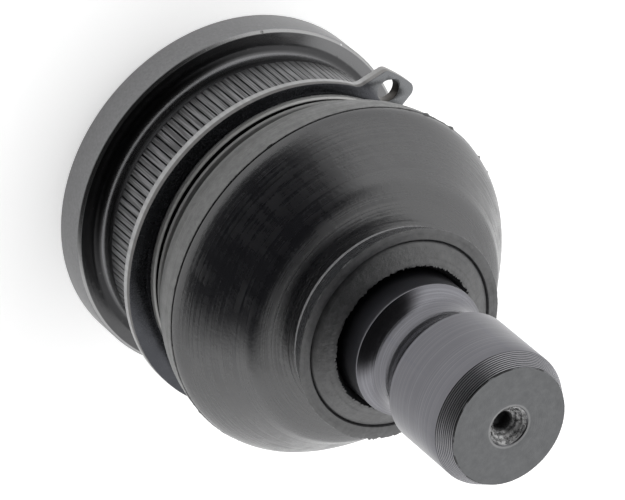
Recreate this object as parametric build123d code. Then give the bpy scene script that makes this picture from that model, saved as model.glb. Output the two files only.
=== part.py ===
from build123d import *
from math import cos, pi, radians, sin, sqrt
import os

# Press-in ball joint for a lower control arm. A flanged and knurled housing is pressed into the
# arm and held by a circlip. The ball stud runs in a two-part plastic seat that a disc spring
# preloads, its outer end has a groove for the pinch bolt of the steering knuckle, and a rubber
# boot seals the gap. Millimetres. Origin: centre of the ball. +Z: out along the stud.
# The gap of the circlip faces -X.

# Ball stud
BALL_R = 15.0
BALL_FLAT = 2.1  # height taken off the back of the ball
STUD_R = 10.5  # ground shoulder and clamped end
STUD_NECK_R = 8.0
NECK_FILLET = 2.0
NECK_END_Z = 20.5
SHOULDER_Z = 26.0
PINCH_START_Z = 38.8
PINCH_WIDTH = 9.0
PINCH_ROUND = 5.5
STUD_END_Z = 62.9
END_CHAMFER = 1.38
END_CHAMFER_LENGTH = 2.8
CENTRE_R = 3.0  # mouth of the centre drilling
CENTRE_DRILL_R = 1.4
CENTRE_DRILL_DEPTH = 3.6

# Plastic seat, two halves
BALL_FIT = 0.05
SEAT_WALL = 2.8
SEAT_FRONT_SHARE = 0.51  # height of the seat's front edge as a share of the ball radius
SEAT_TAPER_WALL = 1.5
SEAT_RIM = 1.1  # how far the seat's back reaches past the flat of the ball
SEAT_SPLIT = 0.2
GREASE_HOLE_R = 6.0
GREASE_GROOVES = 6
GREASE_GROOVE_WIDTH = 1.8
GREASE_GROOVE_DEPTH = 0.5

# Closing cap and disc spring
CAP_THICKNESS = 1.8
CAP_EDGE = 1.1  # how far the cap is wider than the seat
CAP_FIT = 0.03
TAKE_UP = 0.1  # room the seat has to move back against the spring
SPRING_R = 12.0
SPRING_HOLE_R = 6.5
SPRING_THICKNESS = 0.8
SPRING_CONE = 0.5
SPRING_FIT = 0.3
TOUCH = 0.01

# Housing
SEAT_FIT = 0.05
SWAGE_THICKNESS = 1.7
SWAGE_OVERLAP = 2.5
FLANGE_HEIGHT = 3.8  # how far the flange stands out from the body
FLANGE_THICKNESS = 5.7
FLANGE_CHAMFER = 0.45
BACK_ROUND = 0.3
NECK_ROUND_SHARE = 0.45  # share of the flange's height
BODY_R = 24.0
KNURL_HEIGHT = 0.5
KNURL_GAP = 3.7  # flange face to the start of the knurl
KNURL_LEAD = 0.5
KNURL_RIBS = 134
KNURL_DEPTH = 0.4
KNURL_GROOVE_SHARE = 0.25  # share of the rib pitch that the groove's mouth takes
KNURL_FLOOR_SHARE = 0.4  # share of the mouth that the groove's flat floor takes
CLIP_GROOVE_GAP = 0.5
CLIP_GROOVE_WIDTH = 1.85
CLIP_GROOVE_DEPTH = 1.25
LAND_WIDTH = 1.25
LAND_CHAMFER = 0.3
BOOT_NECK_DEPTH = 2.7
LIP_HEIGHT = 1.0
LIP_THICKNESS = 1.0
FRONT_WALL = 2.3
MOUTH_SHARE = 0.96  # mouth radius as a share of the ball radius
MOUTH_FLARE = 1.6
MOUTH_LAND = 0.8

# Circlip
CLIP_THICKNESS = 1.75
CLIP_FIT = 0.05
CLIP_BACK_WIDTH = 4.8  # radial width opposite the gap
CLIP_FRONT_WIDTH = 2.6
CLIP_GAP_ANGLE = 12.2  # from the middle of the gap to the end of each lug
LUG_HEIGHT = 6.45
LUG_SPREAD = 13.5  # from the middle of the gap to the far side of each lug
LUG_HOLE_ANGLE = 20.8
LUG_HOLE_R = 1.75
LUG_HOLE_INSET = 2.75
LUG_ROUND = 1.4
LUG_NECK_ROUND = 1.8

# Boot and its rings
BOOT_FIT = 0.1
BOOT_OVER_FLANGE = 0.02  # how far the boot's belly stands out past the flange
BOOT_WALL = 2.0
BOOT_FOOT_GAP = 0.4  # inside of the boot's foot to the lip of the housing
BEAD_GAP = 1.8  # housing land to the bead
BEAD_WIDTH = 2.9
BEAD_LIP_HEIGHT = 0.1  # lip and shoulder of the bead, from the body's surface outwards
BEAD_LIP_WIDTH = 0.7
BEAD_SHOULDER_HEIGHT = 1.0
RING_GROOVE_WIDTH = 1.2
RING_GROOVE_DEPTH = 1.2
CLAMP_RING_FIT = 0.05
CLAMP_RING_HEIGHT = 0.85
COLLAR_Z = 29.5
COLLAR_LENGTH = 3.8
COLLAR_NECK_HEIGHT = 3.9  # heights of the collar's parts out from the surface of the stud
COLLAR_BACK_HEIGHT = 4.9
COLLAR_FRONT_HEIGHT = 6.1
COLLAR_GROOVE_HEIGHT = 4.2
COLLAR_LIP_HEIGHT = 0.9
COLLAR_LIP_RISE = 1.3
COLLAR_GROOVE = 0.35
COLLAR_NECK_GAP = 0.67  # boot's neck to the back of the collar
NECK_RING_CLEARANCE = 0.7  # neck ring's hole to the surface of the stud
NECK_RING_WIDTH = 2.0
NECK_RING_HEIGHT = 1.9
NECK_RING_FIT = 0.05

# The boot's wall from the bead to the collar: share of its height, share of its widest radius, and
# the tilt of its surface in degrees. The second row is the mould line, the fourth the shoulder.
BOOT_SHAPE_SHARES = ((0.184, 0.977, 0), (0.367, 1.0, 10), (0.646, 0.871, 35), (0.909, 0.735, 42), (0.969, 0.667, 65))
MOULD_LINE_ROUND = 2.5

# Heights that follow from the ball outwards
FLAT_Z = -(BALL_R - BALL_FLAT)
SEAT_BACK_Z = FLAT_Z - SEAT_RIM
CAP_FRONT_Z = SEAT_BACK_Z - TAKE_UP
CAP_BACK_Z = CAP_FRONT_Z - CAP_THICKNESS
BACK_Z = CAP_BACK_Z - SWAGE_THICKNESS
DISH_DEPTH = SPRING_THICKNESS + SPRING_CONE - TAKE_UP
FLANGE_FACE_Z = BACK_Z + FLANGE_THICKNESS
KNURL_Z = FLANGE_FACE_Z + KNURL_GAP
SEAT_FRONT_Z = SEAT_FRONT_SHARE * BALL_R
POCKET_END_Z = SEAT_FRONT_Z + SEAT_FIT
FRONT_Z = POCKET_END_Z + FRONT_WALL
LIP_Z = FRONT_Z - LIP_THICKNESS
BEAD_FRONT_Z = LIP_Z - BOOT_FIT
BEAD_Z = BEAD_FRONT_Z - BEAD_WIDTH
RING_GROOVE_Z = BEAD_Z + BEAD_LIP_WIDTH
BOOT_Z = RING_GROOVE_Z + RING_GROOVE_WIDTH
LAND_END_Z = BEAD_Z - BEAD_GAP
LAND_Z = LAND_END_Z - LAND_WIDTH
CLIP_GROOVE_Z = LAND_Z - CLIP_GROOVE_WIDTH
KNURL_END_Z = CLIP_GROOVE_Z - CLIP_GROOVE_GAP
COLLAR_FACE_Z = COLLAR_Z + COLLAR_LENGTH
COLLAR_NECK_Z = COLLAR_Z - COLLAR_NECK_GAP

# Radii that follow
SEAT_INNER_R = BALL_R + BALL_FIT
SEAT_R = SEAT_INNER_R + SEAT_WALL
SEAT_TAPER = sqrt(2) * (SEAT_INNER_R + SEAT_TAPER_WALL)  # radius plus height along the 45 degree taper
BORE_R = SEAT_R + SEAT_FIT
CAP_R = SEAT_R + CAP_EDGE
MOUTH_R = MOUTH_SHARE * BALL_R
KNURL_R = BODY_R + KNURL_HEIGHT
FLANGE_R = BODY_R + FLANGE_HEIGHT
NECK_ROUND = NECK_ROUND_SHARE * FLANGE_HEIGHT
CLIP_GROOVE_R = BODY_R - CLIP_GROOVE_DEPTH
BOOT_NECK_R = BODY_R - BOOT_NECK_DEPTH
LIP_R = BOOT_NECK_R + LIP_HEIGHT
CLIP_INNER_R = CLIP_GROOVE_R + CLIP_FIT
CLIP_OFFSET = (CLIP_BACK_WIDTH - CLIP_FRONT_WIDTH) / 2
CLIP_R = CLIP_INNER_R + (CLIP_BACK_WIDTH + CLIP_FRONT_WIDTH) / 2
LUG_R = CLIP_INNER_R + LUG_HEIGHT
BEAD_R = BOOT_NECK_R + BOOT_FIT
BEAD_LIP_R = BODY_R + BEAD_LIP_HEIGHT
BEAD_SHOULDER_R = BODY_R + BEAD_SHOULDER_HEIGHT
BOOT_R = FLANGE_R + BOOT_OVER_FLANGE
CLAMP_RING_R = BEAD_LIP_R - RING_GROOVE_DEPTH + CLAMP_RING_FIT
COLLAR_NECK_R = STUD_R + COLLAR_NECK_HEIGHT
COLLAR_BACK_R = STUD_R + COLLAR_BACK_HEIGHT
COLLAR_FRONT_R = STUD_R + COLLAR_FRONT_HEIGHT
COLLAR_GROOVE_R = STUD_R + COLLAR_GROOVE_HEIGHT
COLLAR_LIP_R = STUD_R + COLLAR_LIP_HEIGHT
NECK_RING_HOLE_R = STUD_R + NECK_RING_CLEARANCE


def turned(outline, rounds=()):
    """Revolve a closed outline of (radius, height) corners about Z; rounds lists (corner, radius)."""
    with BuildPart() as shape:
        with BuildSketch(Plane.XZ) as section:
            with BuildLine():
                Polyline(*outline, close=True)
            make_face()
            for corner, size in rounds:
                fillet(section.vertices().sort_by_distance(corner)[0], size)
        revolve(axis=Axis.Z)
    return shape.part


def around_gap(radius, angle, side=1):
    """Point at a radius and an angle from the middle of the circlip's gap, on one side of it."""
    return (-radius * cos(radians(angle)), side * radius * sin(radians(angle)))


def knurl_grooves():
    """Straight tapered grooves that part the knurled band into ribs; they run out over both its ends."""
    mouth = KNURL_GROOVE_SHARE * 2 * pi * KNURL_R / KNURL_RIBS
    floor = KNURL_FLOOR_SHARE * mouth
    low = (-KNURL_DEPTH, floor / 2)
    high = (KNURL_DEPTH, mouth - floor / 2)
    with BuildPart() as cutters:
        with BuildSketch(Plane.XY.offset(KNURL_Z - CLIP_GROOVE_GAP / 2)):
            with PolarLocations(KNURL_R, KNURL_RIBS):
                Polygon((low[0], -low[1]), (high[0], -high[1]), high, low, align=None)
        extrude(amount=KNURL_END_Z - KNURL_Z + CLIP_GROOVE_GAP)
    return cutters.part


def make_housing():
    """Steel housing: flange, knurled press-fit band, circlip groove, neck for the boot, ball pocket."""
    flange_corner = (BODY_R, FLANGE_FACE_Z)
    back_corner = (FLANGE_R, BACK_Z)
    outside = turned(
        [
            (0, BACK_Z),
            back_corner,
            (FLANGE_R, FLANGE_FACE_Z - FLANGE_CHAMFER),
            (FLANGE_R - FLANGE_CHAMFER, FLANGE_FACE_Z),
            flange_corner,
            (BODY_R, KNURL_Z),
            (KNURL_R, KNURL_Z + KNURL_LEAD),
            (KNURL_R, KNURL_END_Z - KNURL_LEAD),
            (BODY_R, KNURL_END_Z),
            (BODY_R, LAND_END_Z - LAND_CHAMFER),
            (BODY_R - LAND_CHAMFER, LAND_END_Z),
            (BOOT_NECK_R, LAND_END_Z),
            (BOOT_NECK_R, LIP_Z),
            (LIP_R, LIP_Z),
            (LIP_R, FRONT_Z),
            (0, FRONT_Z),
        ],
        [(flange_corner, NECK_ROUND), (back_corner, BACK_ROUND)],
    )
    clip_groove = turned(
        [
            (CLIP_GROOVE_R, CLIP_GROOVE_Z),
            (FLANGE_R, CLIP_GROOVE_Z),
            (FLANGE_R, LAND_Z),
            (CLIP_GROOVE_R, LAND_Z),
        ]
    )
    swage_r = CAP_R - SWAGE_OVERLAP
    pocket = turned(
        [
            (0, BACK_Z - TOUCH),
            (swage_r + SWAGE_THICKNESS / 2, BACK_Z - TOUCH),
            (swage_r, CAP_BACK_Z),
            (CAP_R + CAP_FIT, CAP_BACK_Z),
            (CAP_R + CAP_FIT, CAP_FRONT_Z),
            (BORE_R, CAP_FRONT_Z),
            (BORE_R, SEAT_TAPER - SEAT_R),
            (SEAT_TAPER + SEAT_FIT - POCKET_END_Z, POCKET_END_Z),
            (MOUTH_R, POCKET_END_Z),
            (MOUTH_R, POCKET_END_Z + MOUTH_LAND),
            (MOUTH_R + MOUTH_FLARE, FRONT_Z + TOUCH),
            (0, FRONT_Z + TOUCH),
        ]
    )
    return outside - knurl_grooves() - clip_groove - pocket


def make_closing_cap():
    """Pressed steel cap under the rolled lip of the housing, dished in the middle for the spring."""
    dish_r = SPRING_R + SPRING_FIT
    front_z = CAP_FRONT_Z - DISH_DEPTH
    back_z = CAP_BACK_Z - DISH_DEPTH
    return turned(
        [
            (0, back_z),
            (dish_r + CAP_THICKNESS / 2, back_z),
            (dish_r + CAP_THICKNESS, CAP_BACK_Z),
            (CAP_R, CAP_BACK_Z + TOUCH),
            (CAP_R, CAP_FRONT_Z - TOUCH),
            (dish_r + SPRING_FIT, CAP_FRONT_Z - TOUCH),
            (dish_r, front_z),
            (0, front_z),
        ]
    )


def make_disc_spring():
    """Coned disc spring: its rim sits in the dish of the cap and its hole's edge lifts the seat."""
    rim_z = CAP_FRONT_Z - DISH_DEPTH + TOUCH
    hole_z = SEAT_BACK_Z - TOUCH
    return turned(
        [
            (SPRING_R, rim_z),
            (SPRING_R, rim_z + SPRING_THICKNESS),
            (SPRING_HOLE_R, hole_z),
            (SPRING_HOLE_R, hole_z - SPRING_THICKNESS),
        ]
    )


def ball_hollow():
    """Room the seat leaves for the ball, with grease grooves that run from pole to pole."""
    reach = 2 * SEAT_R
    groove_r = SEAT_INNER_R + GREASE_GROOVE_DEPTH
    slots = Box(reach, GREASE_GROOVE_WIDTH, reach)
    for step in range(1, GREASE_GROOVES // 2):
        slots += Rot(0, 0, step * 360 / GREASE_GROOVES) * Box(reach, GREASE_GROOVE_WIDTH, reach)
    return Sphere(SEAT_INNER_R) + (Sphere(groove_r) & slots)


def make_seat_front():
    """Front half of the seat: holds the ball in, and bears on the taper of the housing."""
    split_z = SEAT_SPLIT / 2
    blank = turned(
        [
            (0, split_z),
            (SEAT_R, split_z),
            (SEAT_R, SEAT_TAPER - SEAT_R),
            (SEAT_TAPER - SEAT_FRONT_Z, SEAT_FRONT_Z),
            (0, SEAT_FRONT_Z),
        ]
    )
    return blank - ball_hollow()


def make_seat_back():
    """Back half of the seat, open behind the ball so that grease gets in and the ball can turn."""
    split_z = -SEAT_SPLIT / 2
    blank = turned(
        [
            (GREASE_HOLE_R, SEAT_BACK_Z),
            (SEAT_R, SEAT_BACK_Z),
            (SEAT_R, split_z),
            (GREASE_HOLE_R, split_z),
        ]
    )
    return blank - ball_hollow()


def make_ball_stud():
    """Forged and ground stud: ball, neck, shoulder, turned pinch groove, clamped end, centre drilling."""
    neck_z = sqrt(BALL_R**2 - STUD_NECK_R**2)
    pinch_z = PINCH_START_Z + PINCH_WIDTH / 2
    pinch_r = STUD_R + sqrt(PINCH_ROUND**2 - (PINCH_WIDTH / 2) ** 2)
    length = STUD_END_Z - FLAT_Z
    with BuildPart() as stud:
        with BuildSketch(Plane.XZ) as section:
            Circle(BALL_R)
            with BuildLine():
                Polyline(
                    (0, 0),
                    (STUD_NECK_R, 0),
                    (STUD_NECK_R, NECK_END_Z),
                    (STUD_R, SHOULDER_Z),
                    (STUD_R, STUD_END_Z - END_CHAMFER_LENGTH),
                    (STUD_R - END_CHAMFER, STUD_END_Z),
                    (0, STUD_END_Z),
                    close=True,
                )
            make_face()
            with Locations((pinch_r, pinch_z)):
                Circle(PINCH_ROUND, mode=Mode.SUBTRACT)
            with Locations((0, FLAT_Z)):
                Rectangle(2 * BALL_R, length, align=(Align.MIN, Align.MIN), mode=Mode.INTERSECT)
            fillet(section.vertices().sort_by_distance((STUD_NECK_R, neck_z))[0], NECK_FILLET)
            fillet(section.vertices().sort_by_distance((STUD_NECK_R, NECK_END_Z))[0], 2 * NECK_FILLET)
            fillet(section.vertices().sort_by_distance((STUD_R, SHOULDER_Z))[0], NECK_FILLET)
        revolve(axis=Axis.Z)
        with Locations((0, 0, STUD_END_Z)):
            Hole(CENTRE_DRILL_R, CENTRE_DRILL_DEPTH)
            CounterSinkHole(CENTRE_DRILL_R, CENTRE_R, CENTRE_DRILL_DEPTH, 60)
    return stud.part


def make_circlip():
    """External circlip of tapering width, with two lugs pierced for the pliers."""
    outline = Pos(CLIP_OFFSET, 0) * Circle(CLIP_R)
    outline += Circle(LUG_R) & Rectangle(LUG_R, 2 * LUG_SPREAD, align=(Align.MAX, Align.CENTER))
    outline -= Circle(CLIP_INNER_R)
    gap_corners = [around_gap(2 * LUG_R, CLIP_GAP_ANGLE, side) for side in (1, -1)]
    outline -= Polygon((0, 0), *gap_corners, align=None)
    neck_x = CLIP_OFFSET - sqrt(CLIP_R**2 - LUG_SPREAD**2)
    tip_x = -sqrt(LUG_R**2 - LUG_SPREAD**2)
    for side in (1, -1):
        hole = around_gap(LUG_R - LUG_HOLE_INSET, LUG_HOLE_ANGLE, side)
        outline -= Pos(*hole) * Circle(LUG_HOLE_R)
        for tip in (around_gap(LUG_R, CLIP_GAP_ANGLE, side), (tip_x, side * LUG_SPREAD)):
            outline = fillet(outline.vertices().sort_by_distance(tip)[0], LUG_ROUND)
        neck = (neck_x, side * LUG_SPREAD)
        outline = fillet(outline.vertices().sort_by_distance(neck)[0], LUG_NECK_ROUND)
    return extrude(Pos(0, 0, CLIP_GROOVE_Z + CLIP_FIT) * outline, CLIP_THICKNESS)


def boot_wall(inset):
    """Points along the boot's wall, moved in from its skin: belly, mould line, dome, shoulder, roll."""
    rise = COLLAR_NECK_Z - BOOT_Z
    points = []
    for share_z, share_r, tilt in BOOT_SHAPE_SHARES:
        radius = share_r * BOOT_R - inset * cos(radians(tilt))
        points.append((radius, BOOT_Z + share_z * rise - inset * sin(radians(tilt))))
    return points


def make_boot():
    """Moulded rubber boot: clamped bead, bellied wall, stiff collar with a sealing lip on the stud."""
    groove_r = BEAD_LIP_R - RING_GROOVE_DEPTH
    seal_r = STUD_R + BOOT_FIT
    ring_z = COLLAR_Z + BOOT_WALL / 2
    ring_r = NECK_RING_HOLE_R + NECK_RING_WIDTH + NECK_RING_FIT
    ring_top_z = ring_z + NECK_RING_HEIGHT + 2 * NECK_RING_FIT
    lip_z = COLLAR_FACE_Z + COLLAR_LIP_RISE
    belly, mould_line, dome, shoulder, roll = boot_wall(0)
    belly_in, mould_line_in, dome_in, shoulder_in, roll_in = boot_wall(BOOT_WALL)
    neck = (COLLAR_NECK_R, COLLAR_NECK_Z)
    neck_in = (COLLAR_NECK_R - BOOT_WALL, COLLAR_NECK_Z - BOOT_WALL)
    foot = (BEAD_SHOULDER_R, BOOT_Z)
    foot_in = (LIP_R + BOOT_FOOT_GAP, BEAD_FRONT_Z)
    with BuildPart() as boot:
        with BuildSketch(Plane.XZ) as section:
            with BuildLine():
                ThreePointArc(foot, belly, mould_line)
                ThreePointArc(mould_line, dome, shoulder)
                ThreePointArc(shoulder, roll, neck)
                ThreePointArc(neck_in, roll_in, shoulder_in)
                ThreePointArc(shoulder_in, dome_in, mould_line_in)
                ThreePointArc(mould_line_in, belly_in, foot_in)
                Polyline(
                    foot_in,
                    (BEAD_R, BEAD_FRONT_Z),
                    (BEAD_R, BEAD_Z),
                    (BEAD_LIP_R, BEAD_Z),
                    (BEAD_LIP_R, RING_GROOVE_Z),
                    (groove_r, RING_GROOVE_Z),
                    (groove_r, BOOT_Z),
                    foot,
                )
                Polyline(
                    neck,
                    (COLLAR_BACK_R - COLLAR_GROOVE, COLLAR_Z - COLLAR_GROOVE / 2),
                    (COLLAR_BACK_R, COLLAR_Z + COLLAR_GROOVE),
                    (COLLAR_FRONT_R, COLLAR_FACE_Z - COLLAR_GROOVE),
                    (COLLAR_FRONT_R - COLLAR_GROOVE / 2, COLLAR_FACE_Z),
                    (COLLAR_GROOVE_R + COLLAR_GROOVE, COLLAR_FACE_Z + COLLAR_GROOVE / 2),
                    (COLLAR_GROOVE_R, COLLAR_FACE_Z - COLLAR_GROOVE),
                    (COLLAR_GROOVE_R - COLLAR_GROOVE, COLLAR_FACE_Z + COLLAR_GROOVE),
                    (COLLAR_LIP_R, lip_z),
                    (seal_r, lip_z - COLLAR_LIP_RISE),
                    (seal_r, ring_top_z + COLLAR_GROOVE),
                    (NECK_RING_HOLE_R, ring_top_z),
                    (ring_r, ring_top_z),
                    (ring_r, ring_z),
                    (NECK_RING_HOLE_R, ring_z),
                    (seal_r, ring_z - COLLAR_GROOVE),
                    (seal_r, COLLAR_NECK_Z),
                    neck_in,
                )
            make_face()
            fillet(section.vertices().sort_by_distance(mould_line)[0], MOULD_LINE_ROUND)
        revolve(axis=Axis.Z)
    return boot.part


def make_boot_clamp_ring():
    """Flat spring wire that holds the bead of the boot on the neck of the housing."""
    z = RING_GROOVE_Z + CLAMP_RING_FIT
    top_z = BOOT_Z - CLAMP_RING_FIT
    outer_r = CLAMP_RING_R + CLAMP_RING_HEIGHT
    return turned([(CLAMP_RING_R, z), (outer_r, z), (outer_r, top_z), (CLAMP_RING_R, top_z)])


def make_boot_neck_ring():
    """Steel ring that stiffens the collar of the boot round the stud."""
    z = COLLAR_Z + BOOT_WALL / 2 + NECK_RING_FIT
    top_z = z + NECK_RING_HEIGHT
    outer_r = NECK_RING_HOLE_R + NECK_RING_WIDTH
    return turned([(NECK_RING_HOLE_R, z), (outer_r, z), (outer_r, top_z), (NECK_RING_HOLE_R, top_z)])


os.makedirs("parts", exist_ok=True)
export_step(make_housing(), "parts/housing.step")
export_step(make_closing_cap(), "parts/closing_cap.step")
export_step(make_disc_spring(), "parts/disc_spring.step")
export_step(make_seat_back(), "parts/seat_back.step")
export_step(make_seat_front(), "parts/seat_front.step")
export_step(make_ball_stud(), "parts/ball_stud.step")
export_step(make_circlip(), "parts/circlip.step")
export_step(make_boot(), "parts/boot.step")
export_step(make_boot_clamp_ring(), "parts/boot_clamp_ring.step")
export_step(make_boot_neck_ring(), "parts/boot_neck_ring.step")
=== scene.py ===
import bpy
import random
from math import asin, atan2, cos, degrees, pi, radians, sin, sqrt, tan
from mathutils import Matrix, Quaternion, Vector
from mathutils.geometry import interpolate_bezier


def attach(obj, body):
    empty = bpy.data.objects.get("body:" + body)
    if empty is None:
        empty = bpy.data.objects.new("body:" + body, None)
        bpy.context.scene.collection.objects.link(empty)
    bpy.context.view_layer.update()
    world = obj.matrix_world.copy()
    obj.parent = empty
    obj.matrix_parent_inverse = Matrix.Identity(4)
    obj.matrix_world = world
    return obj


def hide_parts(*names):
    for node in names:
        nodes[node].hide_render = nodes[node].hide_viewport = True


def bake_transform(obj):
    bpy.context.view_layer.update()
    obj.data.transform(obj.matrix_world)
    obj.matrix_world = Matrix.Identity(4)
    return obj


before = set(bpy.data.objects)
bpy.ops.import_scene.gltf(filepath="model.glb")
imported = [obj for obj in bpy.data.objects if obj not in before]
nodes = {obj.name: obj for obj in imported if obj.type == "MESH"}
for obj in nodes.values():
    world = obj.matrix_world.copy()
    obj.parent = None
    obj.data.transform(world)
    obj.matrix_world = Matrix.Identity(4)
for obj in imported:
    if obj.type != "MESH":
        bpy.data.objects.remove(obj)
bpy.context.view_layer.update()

# ---------------------------------------------------------------------------------------------
# HOUSING. A forged steel cup, turned all over: a flange behind, a body that is pressed into the
# control arm, the circlip's groove, and a neck with a lip for the boot. Manganese phosphated and
# oiled, so it is a soft dark grey that is worn a little paler along its edges, where painted
# reflection is added as well.
# ---------------------------------------------------------------------------------------------
mm = 0.001
back_z = -17.6
flange_r = 27.79
flange_edge_z = -12.35
flange_face_r = 27.35
flange_face_z = -11.9
body_r = 24.0
fillet_round = 1.71
clip_groove_r = 22.75
clip_groove_z = 1.1
land_z = 2.95
land_end_z = 4.2
land_chamfer = 0.3
boot_neck_r = 21.3
housing_lip_z = 9.0
housing_lip_r = 22.3
front_z = 10.0
mouth_r = 14.4
mouth_back_z = 7.7
seat_bore_r = 17.95
cap_bore_r = 19.03
cap_step_z = -14.1
rolled_edge_z = -15.88


def arc(centre_r, centre_z, radius, first, last, steps):
    """Points on an arc of an outline, as (radius, height); angles in degrees from outwards."""
    points = []
    for step in range(steps + 1):
        angle = radians(first + (last - first) * step / steps)
        points.append((centre_r + radius * cos(angle), centre_z + radius * sin(angle)))
    return points


def turn(name, outline, around=256, closed=False):
    """Turn a piece: a ring of points is drawn out from radius to radius and height to height."""
    bpy.ops.object.select_all(action="DESELECT")
    radius, height = outline[0]
    place = (0, 0, height * mm)
    bpy.ops.mesh.primitive_circle_add(vertices=around, radius=radius * mm, location=place)
    piece = bpy.context.object
    piece.name = piece.data.name = name
    bpy.ops.object.transform_apply(location=True, rotation=True, scale=True)
    bpy.ops.object.mode_set(mode="EDIT")
    bpy.ops.mesh.select_all(action="SELECT")
    for next_radius, next_height in outline[1:]:
        rise = (0, 0, (next_height - height) * mm)
        bpy.ops.mesh.extrude_region_move(TRANSFORM_OT_translate={"value": rise})
        height = next_height
        if next_radius == 0:
            bpy.ops.mesh.merge(type="CENTER")
            break
        share = next_radius / radius
        middle = (0, 0, height * mm)
        bpy.ops.transform.resize(value=(share, share, 1), center_override=middle)
        radius = next_radius
    bpy.ops.mesh.select_all(action="SELECT")
    if closed:
        bpy.ops.mesh.remove_doubles(threshold=0.0005 * mm)
    bpy.ops.mesh.normals_make_consistent(inside=False)
    bpy.ops.object.mode_set(mode="OBJECT")
    return piece


def ease_edges(piece, width, segments=2, angle=24):
    """Break the sharp edges of a piece by a small rounding, then shade it smooth between them."""
    bpy.ops.object.select_all(action="DESELECT")
    piece.select_set(True)
    bpy.context.view_layer.objects.active = piece
    bevel = piece.modifiers.new("edges", "BEVEL")
    bevel.width = width * mm
    bevel.segments = segments
    bevel.limit_method = "ANGLE"
    bevel.angle_limit = radians(angle)
    bevel.use_clamp_overlap = True
    bpy.ops.object.modifier_apply(modifier="edges")
    bpy.ops.object.shade_smooth_by_angle(angle=radians(30))


class Value:
    """A shader socket that can be reckoned with in plain arithmetic."""

    def __init__(self, sheet, socket):
        self.sheet = sheet
        self.socket = socket

    def __add__(self, other):
        return self.sheet.reckon("ADD", self, other)

    def __sub__(self, other):
        return self.sheet.reckon("SUBTRACT", self, other)

    def __rsub__(self, other):
        return self.sheet.reckon("SUBTRACT", other, self)

    def __mul__(self, other):
        return self.sheet.reckon("MULTIPLY", self, other)

    def __truediv__(self, other):
        return self.sheet.reckon("DIVIDE", self, other)

    def __gt__(self, other):
        return self.sheet.reckon("GREATER_THAN", self, other)

    def __lt__(self, other):
        return self.sheet.reckon("LESS_THAN", self, other)

    __radd__ = __add__
    __rmul__ = __mul__


class Sheet:
    """A sheet that shader nodes are laid on, one by one."""

    def __init__(self, tree):
        self.tree = tree

    def node(self, kind, settings=None, inputs=None, output=0):
        """Lay one node: its settings first, then the values or links of its sockets."""
        node = self.tree.nodes.new(kind)
        for key, value in (settings or {}).items():
            setattr(node, key, value)
        for key, value in (inputs or {}).items():
            if isinstance(value, Value):
                self.tree.links.new(value.socket, node.inputs[key])
            else:
                node.inputs[key].default_value = value
        return Value(self, node.outputs[output])

    def reckon(self, operation, *terms):
        """One step of arithmetic on numbers and sockets."""
        return self.node("ShaderNodeMath", {"operation": operation}, dict(enumerate(terms)))

    def step(self, value, low, high, at_low=0.0, at_high=1.0):
        """A smooth change from at_low to at_high while value goes from low to high."""
        inputs = {0: value, 1: low, 2: high, 3: at_low, 4: at_high}
        return self.node("ShaderNodeMapRange", {"interpolation_type": "SMOOTHSTEP"}, inputs)

    def band(self, value, low, high, soft):
        """One between low and high and nothing outside them, with soft ends."""
        begins = self.step(value, low - soft, low + soft)
        return begins * self.step(value, high - soft, high + soft, 1.0, 0.0)


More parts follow.
